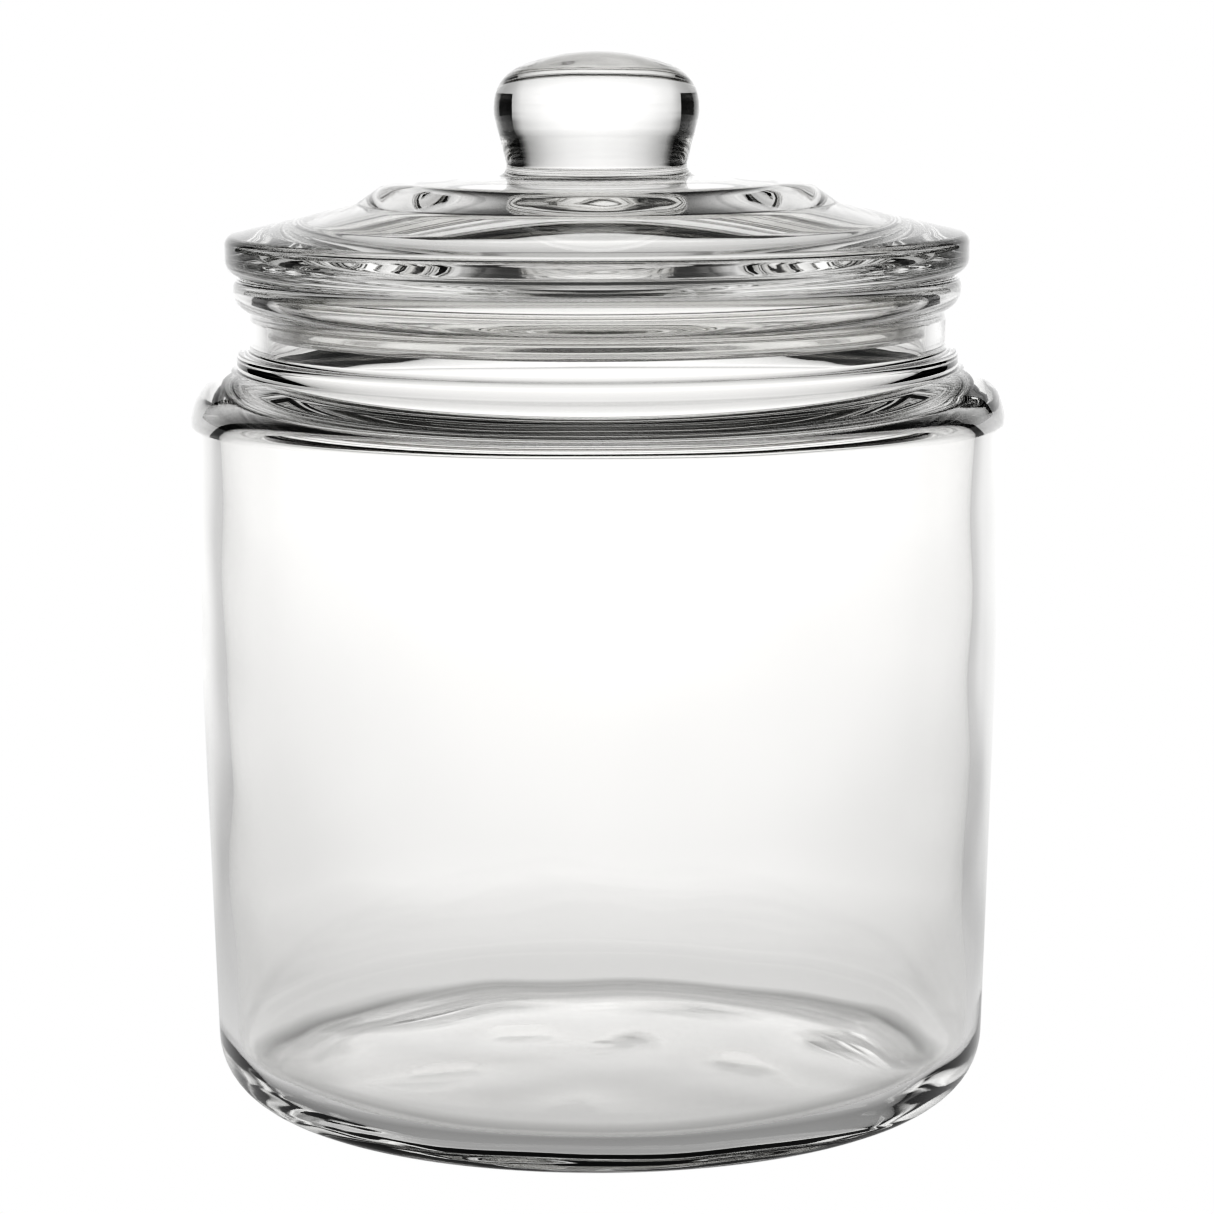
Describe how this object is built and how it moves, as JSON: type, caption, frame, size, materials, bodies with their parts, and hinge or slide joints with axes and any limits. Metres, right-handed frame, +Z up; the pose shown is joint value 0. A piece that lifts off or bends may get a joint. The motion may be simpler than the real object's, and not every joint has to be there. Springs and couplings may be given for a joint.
{
  "type": "lidded glass canister",
  "caption": "Round clear glass storage jar with a tapered wall, rounded shoulder and short neck, and a lift-off knobbed glass lid whose plug skirt carries a soft ribbed seal.",
  "frame": {"origin": "centre of the base, on the surface that the jar stands on", "axes": "+Z up along the jar's axis of symmetry; +X and +Y are arbitrary, because every piece is turned about Z"},
  "size_m": [0.185, 0.185, 0.2384],
  "materials": {
    "jar_glass": "clear fire-polished soda-lime glass",
    "lid_glass": "clear pressed soda-lime glass",
    "seal_clear": "translucent soft plastic"
  },
  "bodies": {
    "jar": {"jar_body": "jar_glass"},
    "seal": {"lid_seal": "seal_clear"},
    "lid": {"lid": "lid_glass"}
  },
  "joints": [
    {"name": "lid_lift", "type": "slide", "parent": "jar", "child": "seal", "axis": [0, 0, 1], "range_m": [0, 0.05]},
    {"name": "lid_turn", "type": "hinge", "parent": "seal", "child": "lid", "pos_m": [0, 0, 0.18], "axis": [0, 0, 1], "continuous": true}
  ]
}
